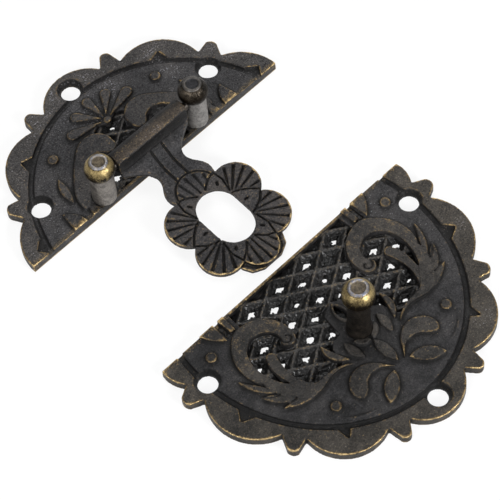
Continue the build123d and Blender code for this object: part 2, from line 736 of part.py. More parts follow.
with BuildPart() as hasp_arm:
    # Flower and neck
    with BuildSketch(eye_plane(0)):
        with Locations((5.1, 2.8), (5.0, -4.0)):
            Circle(petal_radius)
        with Locations((0, -7.1)):
            Circle(tip_petal_radius)
        with BuildLine():
            side_curve = Spline(
                (neck_half_width, bend_reach),
                (neck_half_width, bend_reach - 0.8),
                (3.25, 10.9),
                (4.05, 9.7),
                (4.5, 8.6),
                (4.5, 7.6),
                (4.1, 6.4),
            )
            Polyline(side_curve @ 1, (4.1, 0), (0, 0), (0, bend_reach), side_curve @ 0)
        make_face()
        mirror(about=Plane.YZ)
    extrude(amount=-hasp_thickness)

    # Lip under the last petal, to lift the hasp by
    with BuildSketch(eye_plane(-tip_lip_drop)):
        with BuildLine():
            lip = Polyline(
                (0, -10.6), (1.8, -10.6), (3.7, -9.7), (4.5, -8.1), (3.9, -6.5), (0, -6.5)
            )
            mirror(lip, about=Plane.YZ)
        make_face()
    extrude(amount=tip_lip_drop - tip_lip_height)

    add(web.part)

    # Two grooves along the neck and up the web
    for x in (neck_groove_x, -neck_groove_x):
        with BuildSketch(eye_plane(0)):
            with Locations((x, (9.5 + bend_reach) / 2)):
                Rectangle(neck_groove_width, bend_reach - 9.3)
        extrude(amount=neck_groove_depth, both=True, mode=Mode.SUBTRACT)
        with BuildSketch(Plane(origin=(x, hinge_edge_y, 0), x_dir=(0, 1, 0), z_dir=(1, 0, 0))):
            with Locations(Location((*bend_end, 0), (0, 0, degrees(rise)))):
                with Locations((0.7, 0)):
                    Rectangle(3.6, 2 * neck_groove_depth)
        extrude(amount=neck_groove_width / 2, both=True, mode=Mode.SUBTRACT)

    # Barrel on the pin
    barrel_plane = Plane(origin=(-barrel_length / 2, hinge_edge_y + hinge_post_y, pin_height),
                         z_dir=(1, 0, 0))
    with BuildSketch(barrel_plane):
        Circle(barrel_diameter / 2)
    extrude(amount=barrel_length)

    # Cove under the barrel's ridge, which runs down into the web
    ridge_turn = radians(barrel_ridge_angle)
    ridge = (
        hinge_post_y - barrel_diameter / 2 * sin(ridge_turn),
        pin_height + barrel_diameter / 2 * cos(ridge_turn),
    )
    with BuildSketch(Plane(origin=(0, hinge_edge_y, 0), x_dir=(0, 1, 0), z_dir=(1, 0, 0))):
        with BuildLine():
            ThreePointArc(ridge, cove_middle, cove_foot)
            Polyline(cove_foot, (-2.5, 6.2), (-2.5, 9.2), ridge)
        make_face()
    extrude(amount=barrel_length, both=True, mode=Mode.SUBTRACT)

    # Flutes of the petals and of the fan on the neck
    for side in (1, -1):
        for focus, centre, rays in (
            ((2.7, 1.4), (5.1, 2.8), ((58, 1.5), (43, 1.4), (28, 1.4), (12, 1.5), (-6, 3.3))),
            ((2.6, -2.0), (5.0, -4.0), ((1, 1.8), (-15, 1.4), (-31, 1.4), (-47, 1.6), (-64, 2.7))),
        ):
            if side < 0:
                rays = [(180 - angle, start) for angle, start in rays]
            flute_fan((side * focus[0], focus[1]), (side * centre[0], centre[1]), petal_radius, rays)
    flute_fan(
        (0, -1),
        (0, -7.1),
        tip_petal_radius,
        ((-90, 4.4), (-80, 4.5), (-100, 4.5), (-69.5, 5.9), (-110.5, 5.9)),
    )
    flute_fan((0, -1.5), (0, 6), 3.6, ((90, 6.9), (82, 6.9), (98, 6.9), (74, 7.9), (106, 7.9)))

    # Grooves round the leaf tips between the petals and round the fan
    with BuildSketch(eye_plane(0)):
        groove((3.2, 2.4), (4.6, 1.9), (6.0, 0.9), (7.3, -0.4), (6.0, -1.6), (4.6, -2.3), (3.2, -2.6))
        groove((0.8, 5.4), (2.4, 6.5), (3.9, 6.9), (4.15, 5.0), (3.6, 2.7))
        groove((0.8, -5.4), (2.0, -6.7), (3.5, -7.5), (4.0, -5.4), (3.6, -3.0))
        mirror(about=Plane.YZ)
        with BuildLine():
            CenterArc((0, 6), 3.65, 8, 164)
        trace(line_width=groove_width)
    extrude(amount=-neck_groove_depth, mode=Mode.SUBTRACT)

    # Eye that drops over the post, the dots of the leaf tips, and the pin's bore
    with BuildSketch(eye_plane(1)):
        SlotOverall(eye_length, eye_width, rotation=90)
    extrude(amount=-4, mode=Mode.SUBTRACT)
    with BuildSketch(eye_plane(0)):
        for x, y, turn in ((4.5, -0.1, 0), (3.0, 5.0, 60), (2.9, -5.2, -50)):
            with Locations(Location((x, y, 0), (0, 0, turn))):
                Ellipse(0.45, 0.24)
        mirror(about=Plane.YZ)
    extrude(amount=-neck_groove_depth, mode=Mode.SUBTRACT)
    with BuildSketch(barrel_plane):
        Circle(pin_diameter / 2 + pin_running_clearance)
    extrude(amount=barrel_length, mode=Mode.SUBTRACT)

pieces = {
    "catch_plate": catch_plate,
    "catch_post": catch_post,
    "hinge_plate": hinge_plate,
    "hinge_post_left": hinge_post_left,
    "hinge_post_right": hinge_post_right,
    "hinge_pin": hinge_pin,
    "hasp_arm": hasp_arm,
}
for name, piece in pieces.items():
    piece.part.label = name
    export_step(piece.part, f"parts/{name}.step")
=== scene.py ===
"""Looks of a decorative box hasp: two cast filigree plates, a pinned hasp with a flower
shaped eye, and the post that the eye drops over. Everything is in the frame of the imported
solids, in metres unless a comment or docstring says millimetres."""

import logging
import math
from abc import ABC, abstractmethod
from dataclasses import dataclass, field, replace
from enum import Enum

import bpy
import numpy as np
from mathutils import Matrix, Vector, kdtree

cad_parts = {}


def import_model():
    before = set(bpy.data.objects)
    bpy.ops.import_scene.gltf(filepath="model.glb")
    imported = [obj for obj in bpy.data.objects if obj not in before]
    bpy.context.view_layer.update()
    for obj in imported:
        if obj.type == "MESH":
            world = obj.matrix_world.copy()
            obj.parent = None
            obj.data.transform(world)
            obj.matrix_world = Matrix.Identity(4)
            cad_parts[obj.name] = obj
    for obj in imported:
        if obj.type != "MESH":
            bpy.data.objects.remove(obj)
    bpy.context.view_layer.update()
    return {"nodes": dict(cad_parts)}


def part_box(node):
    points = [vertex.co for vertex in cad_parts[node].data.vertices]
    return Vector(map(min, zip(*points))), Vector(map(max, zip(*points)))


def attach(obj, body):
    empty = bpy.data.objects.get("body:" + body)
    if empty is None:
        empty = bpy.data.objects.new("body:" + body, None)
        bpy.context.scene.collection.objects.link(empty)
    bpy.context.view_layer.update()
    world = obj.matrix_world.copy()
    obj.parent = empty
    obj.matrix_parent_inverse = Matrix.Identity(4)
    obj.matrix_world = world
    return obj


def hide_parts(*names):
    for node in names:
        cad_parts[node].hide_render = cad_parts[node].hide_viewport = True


MM = 0.001
LOG = logging.getLogger("hasp")

Colour = tuple[float, float, float, float]
Point = tuple[float, float]
# Where a number starts and ends to count.
Ramp = tuple[float, float]
# Even noise: features to the metre, octaves, and how strong the finer octaves are.
Grain = tuple[float, float, float]

# Heights above the backs of the plates, in millimetres: where the back ends, where the
# lattice's ribs start and end, where the lattice gives way to the field, how high the mouths
# of the screw holes reach, where the field gives way to raised ornament, how high the walls
# of the openings and the feet of the rims reach, and where the tops of the scrolls start.
BACK = 0.15
RIB: Ramp = (1.02, 1.12)
RIB_TOP: Ramp = (1.3, 1.4)
LATTICE: Ramp = (1.3, 1.6)
MOUTH: Ramp = (1.5, 1.62)
ORNAMENT: Ramp = (1.85, 2.0)
OPENING = 0.55
RIM = 0.9
CURL = 1.9

# Reach from a plate's middle, where its oval channel is at 1: the lattice, the ends of its
# ribs, the rims that are rounded, and where the border starts.
INSIDE = 0.9
RIB_END: Ramp = (0.93, 0.95)
OUTSIDE = 1.02
BORDER: Ramp = (1.01, 1.03)

# Rounds of averaging that find a sharp edge, the rubbed metal beside it, a broad form and
# the level of the surroundings.
SHARP, BESIDE, BROAD, LEVEL = 2, 4, 10, 50

# The middle of either plate's oval channel lies this far below the plate's straight edge
# along Y, and the lattice starts this far from the edge and from posts and screw holes.
CHANNEL_DROP = 5.995
EDGE_BAND = 0.9
CLEARING = 2.6

# The floor lies this far under the plates, so that their backs don't flicker against it.
FLOOR_GAP = 0.02 * MM

# Corners of the solids' meshes that are nearer than this are one corner.
WELD = 0.001 * MM


class Metal(Enum):
    """Which finish a piece takes."""

    DARK_BRONZE = "dark_bronze"
    WORN_POST = "worn_post"
    DARK_POST = "dark_post"
    PIN_STEEL = "pin_steel"


class Value:
    """A shader socket that takes part in Python arithmetic."""

    def __init__(self, sheet: "Sheet", socket: bpy.types.NodeSocket) -> None:
        """Keeps the socket and the sheet that its nodes go on.

        Args:
            sheet: The node sheet.
            socket: The output socket that carries the value.
        """
        self.sheet = sheet
        self.socket = socket

    def _math(self, operation: str, first: "Value | float", second: "Value | float") -> "Value":
        """Adds one Math node.

        Args:
            operation: The Math node's operation.
            first: Its first operand.
            second: Its second operand.

        Returns:
            The node's result.
        """
        return self.sheet.node("ShaderNodeMath", {"operation": operation}, {0: first, 1: second})

    def __add__(self, other: "Value | float") -> "Value":
        """Sum."""
        return self._math("ADD", self, other)

    __radd__ = __add__

    def __sub__(self, other: "Value | float") -> "Value":
        """Difference."""
        return self._math("SUBTRACT", self, other)

    def __rsub__(self, other: float) -> "Value":
        """Difference from a number."""
        return self._math("SUBTRACT", other, self)

    def __mul__(self, other: "Value | float") -> "Value":
        """Product."""
        return self._math("MULTIPLY", self, other)

    __rmul__ = __mul__

    def over(self, low: float, high: float) -> "Value":
        """A smooth step from 0 at low to 1 at high."""
        settings = {"interpolation_type": "SMOOTHSTEP"}
        return self.sheet.node("ShaderNodeMapRange", settings, {0: self, 1: low, 2: high})

    def most(self, other: "Value | float") -> "Value":
        """The larger of two values."""
        return self._math("MAXIMUM", self, other)


class Sheet:
    """The node sheet of a material or a world."""

    def __init__(self, owner: "bpy.types.Material | bpy.types.World") -> None:
        """Starts an empty sheet.

        Args:
            owner: The material or world that it belongs to.
        """
        self.owner = owner
        self.owner.use_nodes = True
        self.tree = self.owner.node_tree
        self.tree.nodes.clear()

    def node(
        self,
        kind: str,
        settings: dict[str, object] | None = None,
        sockets: dict[int | str, object] | None = None,
        output: int | str = 0,
    ) -> Value:
        """Adds one node.

        Args:
            kind: The node's type.
            settings: Its properties, set before its sockets.
            sockets: A value or a Value for each named or numbered input.
            output: The output that is handed on.

        Returns:
            The chosen output.
        """
        made = self.tree.nodes.new(kind)
        for key, value in (settings or {}).items():
            setattr(made, key, value)
        for key, value in (sockets or {}).items():
            if isinstance(value, Value):
                self.tree.links.new(value.socket, made.inputs[key])
            else:
                made.inputs[key].default_value = value
        return Value(self, made.outputs[output])

    def grain(self, scale: float, detail: float, rough: float) -> Value:
        """Even noise about 0, from -0.5 to 0.5, in the object's own coordinates.

        Args:
            scale: Features to the metre.
            detail: Octaves.
            rough: How strong the finer octaves are.

        Returns:
            The noise.
        """
        place = self.node("ShaderNodeTexCoord", output="Object")
        sockets = {"Vector": place, "Scale": scale, "Detail": detail, "Roughness": rough}
        return self.node("ShaderNodeTexNoise", None, sockets) - 0.5

    def painted(self, *names: str) -> list[Value]:
        """Numbers painted on the mesh.

        Args:
            *names: The attributes' names.

        Returns:
            Each number at the point.
        """
        kind = "ShaderNodeAttribute"
        return [self.node(kind, {"attribute_name": name}, None, "Fac") for name in names]

    def background(self, mirror: float) -> Value:
        """How far a ray sees the pale background as it is.

        Args:
            mirror: What reflections in the metal see of it.

        Returns:
            1 for rays from the camera or through glass, and mirror for reflected ones.
        """
        seen, mirrored, through = (
            self.node("ShaderNodeLightPath", output=ray)
            for ray in ("Is Camera Ray", "Is Glossy Ray", "Is Transmission Ray")
        )
        return seen.most(through).most(mirrored * mirror)

    def blend(self, first: object, second: object, share: Value | float) -> Value:
        """A mix of two colours.

        Args:
            first: The colour at share 0.
            second: The colour at share 1.
            share: How much of the second shows.

        Returns:
            The colour.
        """
        settings = {"data_type": "RGBA", "clamp_factor": True}
        return self.node("ShaderNodeMix", settings, {0: share, 6: first, 7: second}, 2)

    def rough_metal(
        self, relief: Value, depth: float, sockets: dict[int | str, object]
    ) -> bpy.types.Material:
        """Finishes a material as metal with a fine relief.

        Args:
            relief: The relief's height.
            depth: How deep the relief looks.
            sockets: The other inputs of the Principled shader.

        Returns:
            The finished material.
        """
        settings = {"Strength": 1.0, "Distance": depth, "Height": relief}
        bump = self.node("ShaderNodeBump", None, settings, "Normal")
        sockets = {**sockets, "Normal": bump}
        return self.finish(self.node("ShaderNodeBsdfPrincipled", None, sockets))

    def finish(self, shader: Value) -> "bpy.types.Material | bpy.types.World":
        """Joins a shader to the output.

        Args:
            shader: The surface shader.

        Returns:
            The finished material or world.
        """
        of_world = isinstance(self.owner, bpy.types.World)
        kind = "ShaderNodeOutputWorld" if of_world else "ShaderNodeOutputMaterial"
        self.tree.links.new(shader.socket, self.tree.nodes.new(kind).inputs["Surface"])
        return self.owner


def rgb(red: float, green: float, blue: float) -> Colour:
    """A screen colour, 0 to 255, as the linear colour that shows it.

    Args:
        red: Red on the screen.
        green: Green on the screen.
        blue: Blue on the screen.

    Returns:
        The linear colour with an alpha of 1.
    """
    linear = []
    for part in (red, green, blue):
        share = part / 255
        linear.append(share / 12.92 if share <= 0.04045 else ((share + 0.055) / 1.055) ** 2.4)
    return (linear[0], linear[1], linear[2], 1.0)


@dataclass(frozen=True)
class CastFinish:
    """Dark antique finish on sand cast metal, rubbed through on raised edges.

    The painted numbers say where: wear on exposed edges, with a highlight painted where it is
    strongest; darker metal, from patina in recesses and from painted shade; tint on raised
    ornament and border; scuff on faces that hands have rubbed, and a painted highlight on the
    hasp's ridge; coarser grain with pale specks, and a tone shifted as painted light; and
    lacquer where the finish still shines.
    """

    name: str
    ground: tuple[Colour, Colour]
    raised: tuple[Colour, Colour]
    # Dark colours for patina in recesses and for painted shade.
    patina_and_shade: tuple[Colour, Colour]
    worn: Colour
    # Colour of the highlight painted on the most worn edges.
    painted_highlight: Colour
    pale_speck: Colour
    relief: float = 0.11 * MM
    speck: Grain = (3600.0, 2.0, 0.8)
    sand: Grain = (1900.0, 3.0, 0.7)
    mottle: Grain = (750.0, 4.0, 0.6)
    cloud: Grain = (150.0, 3.0, 0.5)

    def build(self) -> bpy.types.Material:
        """Makes the material.

        Returns:
            The material.
        """
        sheet = Sheet(bpy.data.materials.new(self.name))
        wear, patina_and_shade, tint, scuff_and_highlight, grain_and_light, lacquer = sheet.painted(
            "wear", "patina_and_shade", "tint", "scuff_and_highlight", "grain_and_light", "lacquer"
        )
        speck, sand = sheet.grain(*self.speck), sheet.grain(*self.sand)
        mottle, cloud = sheet.grain(*self.mottle), sheet.grain(*self.cloud)
        # The grain grows coarser, and the tone of whole regions is shifted as painted light.
        coarse = 0.5 + grain_and_light * 0.3 - tint * 0.1
        grains = speck * 2.8 + sand * 1.1
        blots = mottle * 0.65 + cloud * 0.8
        shade = (grains * coarse + blots + grain_and_light * 0.2 - 0.05).over(-0.5, 0.6)
        brown = tint + cloud * 1.2 + 0.08
        dark = sheet.blend(self.ground[0], self.raised[0], brown)
        light = sheet.blend(self.ground[1], self.raised[1], brown)
        rub = (wear + mottle * 1.4 + sand * 1.0 + speck * 0.7).over(0.47, 0.95)
        grit = (scuff_and_highlight + speck * 2.2 + sand * 0.8).over(0.4, 0.62)
        worn = rub.most(grit * 0.8)
        # A pale highlight is painted on where the edges are most worn.
        glint = (wear + sand * 1.8 + mottle * 1.4).over(0.9, 1.3)
        pale_speck = (speck * 1.6 + cloud * 0.7 + grain_and_light * 0.1 - wear).over(0.31, 0.4)
        colour = sheet.blend(dark, light, shade)
        # Darker with patina in recesses and with painted shade.
        colour = sheet.blend(colour, sheet.blend(*self.patina_and_shade, shade), patina_and_shade)
        colour = sheet.blend(colour, self.pale_speck, pale_speck * (1.0 - patina_and_shade * 0.6))
        colour = sheet.blend(colour, self.worn, worn)
        colour = sheet.blend(colour, self.painted_highlight, glint)
        return sheet.rough_metal(
            speck * 0.9 + sand * 0.8 + mottle,
            self.relief,
            {
                "Base Color": colour,
                "Metallic": (worn + glint) * 0.9 + 0.1,
                "Roughness": 0.5 + speck * 0.5 - worn * 0.14 + patina_and_shade * 0.1,
                "Specular IOR Level": 0.2,
                "Coat Weight": lacquer * 0.9,
                "Coat Roughness": 0.26,
            },
        )


@dataclass(frozen=True)
class PostFinish:
    """Turned metal: a stem, a rubbed knob, and a pale ring round a dull disc.

    The painted numbers say where: wear on exposed edges, knob, ring and disc on those parts,
    and painted shade round the ring's foot and on the knob's lower flanks.
    """

    name: str
    stem: tuple[Colour, Colour]
    knob: tuple[Colour, Colour]
    ring: Colour
    disc: tuple[Colour, Colour]
    # Colour of the shade painted on the knob.
    shade_tone: Colour
    stem_metal: float = 0.8
    blotches: float = 0.75
    relief: float = 0.07 * MM
    speck: Grain = (5200.0, 2.0, 0.7)
    sand: Grain = (2400.0, 3.0, 0.6)
    mottle: Grain = (900.0, 3.0, 0.55)
    cloud: Grain = (330.0, 2.0, 0.5)

    def build(self) -> bpy.types.Material:
        """Makes the material.

        Returns:
            The material.
        """
        sheet = Sheet(bpy.data.materials.new(self.name))
        wear, knob, ring, disc, painted_shade = sheet.painted("wear", "knob", "ring", "disc", "painted_shade")
        speck, sand = sheet.grain(*self.speck), sheet.grain(*self.sand)
        mottle, cloud = sheet.grain(*self.mottle), sheet.grain(*self.cloud)
        shade = (speck * 1.2 + sand * 1.2 + mottle * 1.2).over(-0.35, 0.35)
        blotch = speck * 1.2 + sand * 1.1 + mottle * 1.2 + cloud * 1.2
        tarnish = (blotch * self.blotches - wear * 0.1).over(-0.4, 0.5)
        colour = sheet.blend(*self.stem, shade)
        colour = sheet.blend(colour, sheet.blend(*self.knob, tarnish), knob)
        # Painted shade on the knob's lower flanks and round the ring's foot.
        colour = sheet.blend(colour, self.shade_tone, painted_shade * (0.9 + blotch * 1.1))
        colour = sheet.blend(colour, self.ring, ring * (sand * 2.5 + 0.8))
        colour = sheet.blend(colour, sheet.blend(*self.disc, shade), disc)
        metal = (knob - disc).most(0.0) * (1.0 - tarnish * 0.35) * (1.0 - self.stem_metal)
        return sheet.rough_metal(
            speck * 0.5 + sand * 0.8 + mottle,
            self.relief,
            {
                "Base Color": colour,
                "Metallic": metal + self.stem_metal - disc * 0.5 * self.stem_metal,
                "Roughness": 0.44 - knob * 0.04 + tarnish * 0.16 + disc * 0.2 + speck * 0.3,
                "Specular IOR Level": 0.3,
            },
        )


def only(obj: bpy.types.Object) -> None:
    """Selects one object alone and makes it active.

    Args:
        obj: The object.
    """
    bpy.ops.object.select_all(action="DESELECT")
    obj.select_set(True)
    bpy.context.view_layer.objects.active = obj


def apply(obj: bpy.types.Object, name: str, kind: str, **settings: object) -> None:
    """Adds one modifier and applies it.

    Args:
        obj: The object to change.
        name: The modifier's name.
        kind: The modifier's type.
        **settings: The modifier's properties.
    """
    only(obj)
    modifier = obj.modifiers.new(name, kind)
    for key, value in settings.items():
        setattr(modifier, key, value)
    bpy.ops.object.modifier_apply(modifier=modifier.name)


def points_of(mesh: bpy.types.Mesh) -> np.ndarray:
    """The mesh's points.

    Args:
        mesh: The mesh.

    Returns:
        A row for each point.
    """
    flat = np.empty(len(mesh.vertices) * 3, np.float32)
    mesh.vertices.foreach_get("co", flat)
    return flat.reshape(-1, 3)


def normals_of(mesh: bpy.types.Mesh) -> np.ndarray:
    """The normals at the mesh's points.

    Args:
        mesh: The mesh.

    Returns:
        A row for each point.
    """
    flat = np.empty(len(mesh.vertices) * 3, np.float32)
    mesh.vertex_normals.foreach_get("vector", flat)
    return flat.reshape(-1, 3)


def paint(mesh: bpy.types.Mesh, name: str, values: np.ndarray) -> None:
    """Stores one number per point on the mesh.

    Args:
        mesh: The mesh.
        name: The attribute's name.
        values: One number for each point.
    """
    layer = mesh.attributes.new(name, "FLOAT", "POINT")
    layer.data.foreach_set("value", values.astype(np.float32))


def height_of(points: np.ndarray) -> np.ndarray:
    """Height of each point above the backs of the plates, in millimetres."""
    return points[:, 2] / MM


def middle_of(node: str) -> Point:
    """Where a node stands.

    Args:
        node: The node's name.

    Returns:
        The middle of its box along X and Y, in millimetres.
    """
    low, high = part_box(node)
    return ((low.x + high.x) / 2 / MM, (low.y + high.y) / 2 / MM)


def distance(points: np.ndarray, places: list[Point]) -> np.ndarray:
    """How far each point lies from the nearest of some places.

    Args:
        points: The points.
        places: The places, in millimetres.

    Returns:
        Each point's distance in plan, in millimetres.
    """
    x, y = points[:, 0] / MM, points[:, 1] / MM
    return np.min([np.hypot(x - place[0], y - place[1]) for place in places], axis=0)


def step(values: np.ndarray, low: float, high: float) -> np.ndarray:
    """A ramp from 0 at low to 1 at high."""
    return np.clip((values - low) / (high - low), 0.0, 1.0)


def fade(values: np.ndarray, low: float, high: float) -> np.ndarray:
    """A ramp from 1 at low to 0 at high."""
    return 1.0 - step(values, low, high)


def bell(values: np.ndarray, middle: float | np.ndarray, width: float) -> np.ndarray:
    """A bell curve that is 1 at its middle."""
    return np.exp(-(((values - middle) / width) ** 2))


class Net:
    """The edges of a mesh, along which numbers spread from point to point."""

    def __init__(self, mesh: bpy.types.Mesh) -> None:
        """Reads the edges.

        Args:
            mesh: The mesh.
        """
        pairs = np.empty(len(mesh.edges) * 2, np.int32)
        mesh.edges.foreach_get("vertices", pairs)
        self.start, self.end = pairs.reshape(-1, 2).T
        self.size = len(mesh.vertices)
        self.count = np.maximum(np.bincount(pairs, minlength=self.size), 1)

    def around(self, values: np.ndarray) -> np.ndarray:
        """Averages a number over each point's neighbours.

        Args:
            values: One number for each point.

        Returns:
            The averages.
        """
        total = np.bincount(self.start, values[self.end], self.size)
        total += np.bincount(self.end, values[self.start], self.size)
        return total / self.count

    def spread(self, values: np.ndarray, rounds: int) -> np.ndarray:
        """Mixes a number with its neighbours' again and again.

        Args:
            values: One number for each point.
            rounds: How many times to mix.

        Returns:
            The mixed numbers.
        """
        for _ in range(rounds):
            values = 0.5 * values + 0.5 * self.around(values)
        return values


def weather(mesh: bpy.types.Mesh, gain: float, depth: Ramp, smudge: tuple[int, float]) -> None:
    """Paints wear on an evenly meshed piece's edges, and patina and painted shade in its recesses.

    Args:
        mesh: The mesh, with edges of about one length.
        gain: How quickly a convex edge counts as worn.
        depth: How far below its surroundings a point starts and ends to darken, in millimetres.
        smudge: How many edges the darkening in the recesses spreads beyond them, and how densely.
    """
    points = points_of(mesh).astype(float)
    normals = normals_of(mesh).astype(float)
    net = Net(mesh)
    lengths = np.linalg.norm(points[net.start] - points[net.end], axis=1)
    around = np.stack([net.around(column) for column in points.T], axis=1)
    bulge = np.einsum("ij,ij->i", points - around, normals) / lengths.mean()
    near, wide = net.spread(bulge, SHARP), net.spread(bulge, BROAD)
    height = height_of(points)
    sunk = net.spread(height, LEVEL) - height
    patina_and_shade = np.clip(-wide * gain * 3.0, 0, 1)
    patina_and_shade = np.maximum(patina_and_shade, step(sunk, *depth) * (normals[:, 2] > -0.2))
    patina_and_shade_spread = smudge[1] * net.spread(patina_and_shade, smudge[0])
    wear = np.clip(near * gain + np.clip(wide, 0, 1) * gain, 0, 1.2)
    rubbed = np.minimum(1.3 * net.spread(wear, BESIDE), 0.75)
    paint(mesh, "wear", np.maximum(wear, rubbed))
    paint(mesh, "patina_and_shade", np.maximum(patina_and_shade, np.minimum(patina_and_shade_spread, 1.0)))


def carry(source: bpy.types.Mesh, target: bpy.types.Mesh, names: tuple[str, ...]) -> None:
    """Copies painted numbers to the nearest points of another mesh.

    Args:
        source: The mesh that holds them.
        target: The mesh that gets them.
        names: The attributes' names.
    """
    tree = kdtree.KDTree(len(source.vertices))
    for number, vertex in enumerate(source.vertices):
        tree.insert(vertex.co, number)
    tree.balance()
    nearest = np.array([tree.find(v.co)[1] for v in target.vertices])
    for name in names:
        values = np.empty(len(source.vertices), np.float32)
        source.attributes[name].data.foreach_get("value", values)
        if name in target.attributes:
            target.attributes.remove(target.attributes[name])
        paint(target, name, values[nearest])


@dataclass(frozen=True)
class Lumps:
    """Noise that moves points along their normals.

    Attributes:
        scale: Size of its features.
        strength: How far apart its lowest and highest points are.
        depth: Its octaves.
        contrast: How sharply it turns from low to high.
        middle: The share of the noise at which a point stays.
        level: Lifts or lowers the noise as a whole, 1 for neither.
    """

    scale: float
    strength: float
    depth: int = 3
    contrast: float = 2.2
    middle: float = 0.5
    level: float = 1.0


@dataclass
class CastPiece(ABC):
    """A casting: the node's solid with softened edges and the marks of sand and wear.

    Attributes:
        node: The CAD node that it replaces.
        body: The body that it rides on.
        metal: Its finish; not used.
        grain: The size of its mesh's cells before it is thinned.
        softness: Rounds of smoothing that soften its edges.
        sand: How uneven its faces are.
        limit: Its most triangles.
        gain: How quickly a convex edge counts as worn.
        depth: How far below its surroundings a point starts and ends to darken.
        smudge: How many edges the darkening spreads, and how densely.
        obj: The piece itself.
        marks: The painted numbers.
    """

    node: str
    body: str
    metal: Metal
    grain: float = 0.13 * MM
    softness: int = 3
    sand: Lumps = Lumps(0.9 * MM, 0.05 * MM, depth=2, contrast=1.0)
    limit: int = 180_000
    gain: float = 3.2
    depth: Ramp = (0.1, 0.45)
    smudge: tuple[int, float] = (4, 1.4)
    obj: bpy.types.Object = field(init=False)
    marks: tuple[str, ...] = ("wear", "patina_and_shade", "tint", "scuff_and_highlight", "grain_and_light", "lacquer")

    def build(self, finish: bpy.types.Material, solid: bpy.types.Object) -> bpy.types.Object:
        """Makes the piece from a copy of its solid.

        Args:
            finish: The material that dresses it.
            solid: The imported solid.

        Returns:
            The finished piece.
        """
        self.obj = bpy.data.objects.new(f"{self.node}_casting", solid.data.copy())
        bpy.context.scene.collection.objects.link(self.obj)
        only(self.obj)
        bpy.ops.object.mode_set(mode="EDIT")
        bpy.ops.mesh.select_all(action="SELECT")
        bpy.ops.mesh.remove_doubles(threshold=WELD)
        bpy.ops.object.mode_set(mode="OBJECT")
        apply(self.obj, "skin", "REMESH", mode="VOXEL", voxel_size=self.grain)
        apply(self.obj, "soften", "SMOOTH", factor=0.5, iterations=self.softness)
        weather(self.obj.data, self.gain, self.depth, self.smudge)
        self.rough_cast()
        self.mark(points_of(self.obj.data).astype(float))
        self.thin()
        self.settle(float(points_of(solid.data)[:, 2].min()))
        only(self.obj)
        bpy.ops.object.shade_smooth()
        self.obj.data.materials.clear()
        self.obj.data.materials.append(finish)
        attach(self.obj, self.body)
        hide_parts(self.node)
        return self.obj

    @abstractmethod
    def mark(self, points: np.ndarray) -> None:
        """Paints what the piece's own forms need beside wear and hollow.

        Args:
            points: The piece's points.
        """

    def rough_cast(self) -> None:
        """Makes the faces a little uneven, but not the backs or the outline."""
        points, play = points_of(self.obj.data), self.sand.strength
        low, high = points.min(axis=0) + 2 * play, points.max(axis=0) - play
        self.roughen("sand", (points > low).all(axis=1) & (points < high).all(axis=1), self.sand)

    def gather(self, name: str, chosen: np.ndarray) -> str:
        """Makes a group of points.

        Args:
            name: The group's name.
            chosen: Which points belong to it.

        Returns:
            The group's name, as a modifier wants it.
        """
        group = self.obj.vertex_groups.new(name=name)
        group.add(np.flatnonzero(chosen).tolist(), 1.0, "REPLACE")
        return group.name

    def roughen(self, name: str, chosen: np.ndarray, lumps: Lumps) -> None:
        """Displaces points by noise.

        Args:
            name: Names the group, the noise and the modifier.
            chosen: Which points move.
            lumps: The noise.
        """
        clouds = bpy.data.textures.new(f"{self.node}_{name}", "CLOUDS")
        clouds.noise_scale = lumps.scale
        clouds.noise_depth = lumps.depth
        clouds.contrast = lumps.contrast
        clouds.intensity = lumps.level
        apply(
            self.obj,
            name,
            "DISPLACE",
            texture=clouds,
            texture_coords="LOCAL",
            vertex_group=self.gather(name, chosen),
            strength=lumps.strength,
            mid_level=lumps.middle,
        )

    def sink(self, share: np.ndarray, depth: float) -> None:
        """Lowers points in three steps.

        Args:
            share: 1 for the points that sink all the way, 0 for those that stay.
            depth: How far the deepest sink.
        """
        steps = (0.3, 0.6, 0.9)
        for least in steps:
            apply(
                self.obj,
                "sink",
                "DISPLACE",
                direction="Z",
                mid_level=0.0,
                vertex_group=self.gather(f"sunk_{least}", share > least),
                strength=-depth / len(steps),
            )

    def painted(self, name: str) -> np.ndarray:
        """The numbers painted so far.

        Args:
            name: The attribute's name.

        Returns:
            One number for each point.
        """
        values = np.empty(len(self.obj.data.vertices), np.float32)
        self.obj.data.attributes[name].data.foreach_get("value", values)
        return values

    def repaint(self, name: str, values: np.ndarray) -> None:
        """Stores new numbers under a painted name."""
        layer = self.obj.data.attributes[name]
        layer.data.foreach_set("value", values.astype(np.float32))

    def reinforce(self, name: str, share: np.ndarray | float) -> None:
        """Multiplies a painted number by a share."""
        self.repaint(name, self.painted(name) * share)

    def raise_to(self, name: str, least: np.ndarray) -> None:
        """Lifts a painted number where it falls short of the least."""
        self.repaint(name, np.maximum(self.painted(name), least))

    def thin(self) -> None:
        """Drops the points that flat areas don't need, and keeps the painted numbers."""
        triangles = 2 * len(self.obj.data.polygons)
        if triangles <= self.limit:
            return
        dense = self.obj.data.copy()
        apply(self.obj, "thin", "DECIMATE", ratio=self.limit / triangles)
        carry(dense, self.obj.data, self.marks)
        bpy.data.meshes.remove(dense)

    def settle(self, low: float) -> None:
        """Lifts stray points back to the plane of the solid's underside.

        Args:
            low: The height of that plane.
        """
        mesh = self.obj.data
        points = points_of(mesh)
        points[:, 2] = np.maximum(points[:, 2], low)
        mesh.vertices.foreach_set("co", points.ravel())
        mesh.update()


@dataclass(frozen=True)
class Spiral:
    """The groove in a scroll's curled end, in millimetres and degrees.

    Attributes:
        x: Its middle along X, on either side of the plate.
        y: Its middle along Y.
        start: The direction in which its open end lies.
        sweep: How far it turns.
        radius: Its reach at the open end.
        tighten: How much nearer its middle it comes with each radian.
        width: Half its width.
        depth: Its depth.
    """

    x: float
    y: float
    start: float = 50.0
    sweep: float = 320.0
    radius: float = 1.1
    tighten: float = 0.14
    width: float = 0.17
    depth: float = 0.33


